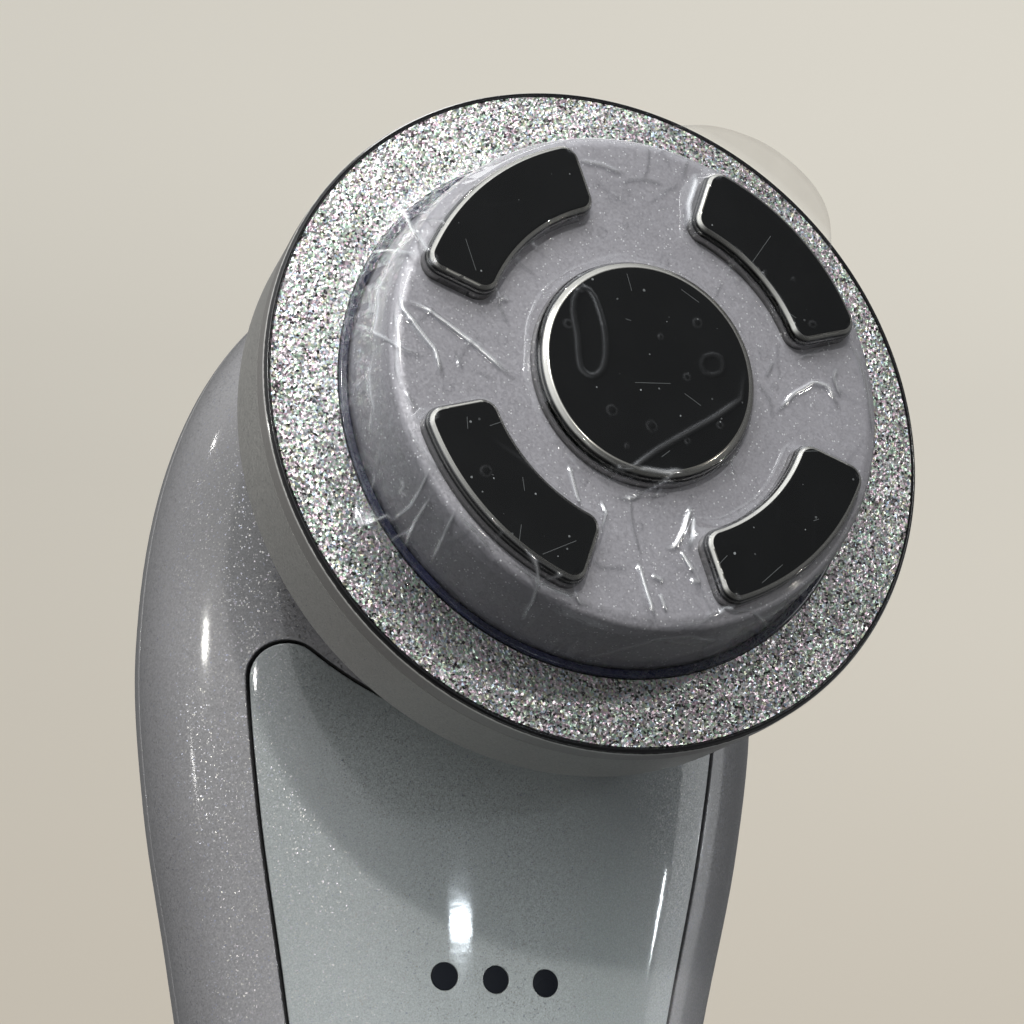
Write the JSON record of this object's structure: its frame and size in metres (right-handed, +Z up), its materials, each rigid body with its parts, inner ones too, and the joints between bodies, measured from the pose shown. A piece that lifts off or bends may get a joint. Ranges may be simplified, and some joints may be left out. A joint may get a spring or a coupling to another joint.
{
  "type": "facial toning device",
  "caption": "Hand-held facial toning device: a tipped round electrode head on a bulb-topped, waisted handle with a front panel and press buttons.",
  "frame": {"origin": "centre of the bounding box's bottom face, on the foot's plane, with X = 0 on the device's mirror plane", "axes": "+Z up the handle from the foot to the head, -Y out of the face, the panel and the buttons, +X to the right as seen from behind the device"},
  "size_m": [0.0502, 0.0533, 0.1774],
  "materials": {
    "pearl_body": "pearl lilac-grey moulding with a fine glitter under a gloss coat",
    "pearl_panel": "pearl grey-green gloss moulding with a fine glitter",
    "black_line": "black liner, seen as a line round the panel",
    "foot_rubber": "dark grey rubber",
    "screw_steel": "plain steel",
    "button_silver": "satin silver cap",
    "ring_gunmetal": "gunmetal paint, semi-gloss",
    "dome_silicone": "translucent silicone",
    "switch_black": "black moulding",
    "window_black": "smoked black light window",
    "led_body": "pale diode body",
    "circuit_board": "green solder mask on glass-epoxy board",
    "chip_black": "black moulded package",
    "frame_grey": "grey moulding",
    "cell_sleeve": "metal can in a blue shrink sleeve",
    "foam_pad": "dark foam rubber",
    "nickel_strip": "nickel strip",
    "lead_insulation": "red insulated wire",
    "port_shell": "drawn steel shell",
    "brass_post": "turned brass",
    "ferrite": "dark ferrite with a copper coil",
    "tin_can": "tinned sheet",
    "neck_grey": "grey moulding",
    "gasket_black": "black rubber",
    "collar_grey": "satin grey drum wall",
    "light_ring_navy": "dark blue translucent ring",
    "glitter_silver": "silver flake in a clear gloss layer",
    "rim_black": "black gloss paint over a metal ring",
    "puck_lilac": "lilac-grey moulding with a fine sparkle",
    "black_chrome": "polished black chrome",
    "clear_film": "clear stretched film with a pull tab"
  },
  "bodies": {
    "handle": {"front_housing": "pearl_body", "rear_housing": "pearl_body", "front_panel": "pearl_panel", "panel_liner": "black_line", "base_cap": "pearl_body", "foot_pad": "foot_rubber", "housing_screws": "screw_steel", "power_button_ring": "ring_gunmetal", "power_button_dome": "dome_silicone", "level_button_ring": "ring_gunmetal", "level_button_dome": "dome_silicone", "button_switches": "switch_black", "indicator_windows": "window_black", "indicator_leds": "led_body", "main_board": "circuit_board", "board_parts": "chip_black", "board_screws": "screw_steel", "inner_frame": "frame_grey", "battery_cell": "cell_sleeve", "battery_pads": "foam_pad", "battery_tabs": "nickel_strip", "battery_leads": "lead_insulation", "charge_board": "circuit_board", "usb_port": "port_shell", "usb_tongue": "switch_black", "driver_board": "circuit_board", "driver_posts": "brass_post", "rf_transformer": "ferrite", "shield_can": "tin_can", "head_harness": "lead_insulation", "neck_tube": "neck_grey", "neck_gasket": "gasket_black", "neck_screws": "screw_steel", "head_collar": "collar_grey", "frame_screws": "screw_steel", "head_frame": "frame_grey", "led_board": "circuit_board", "ring_leds": "led_body", "light_ring": "light_ring_navy", "glitter_ring": "glitter_silver", "rim_ring": "rim_black", "electrode_carrier": "puck_lilac", "carrier_screws": "screw_steel", "electrode_board": "circuit_board", "electrode_screws": "screw_steel", "temperature_sensor": "chip_black", "centre_electrode": "black_chrome", "arc_electrode_upper_left": "black_chrome", "arc_electrode_upper_right": "black_chrome", "arc_electrode_lower_left": "black_chrome", "arc_electrode_lower_right": "black_chrome", "protective_film": "clear_film"},
    "power_button": {"power_button": "button_silver"},
    "level_button": {"level_button": "button_silver"}
  },
  "joints": [
    {"name": "power_button_press", "type": "slide", "parent": "handle", "child": "power_button", "axis": [0, 0.9936, -0.1132], "range_m": [0, 0.0005], "stiffness_N_per_m": 3000, "springref_m": -0.0003, "deforming": ["power_button_dome"]},
    {"name": "level_button_press", "type": "slide", "parent": "handle", "child": "level_button", "axis": [0, 0.9936, -0.1132], "range_m": [0, 0.0005], "stiffness_N_per_m": 3000, "springref_m": -0.0003, "deforming": ["level_button_dome"]}
  ]
}
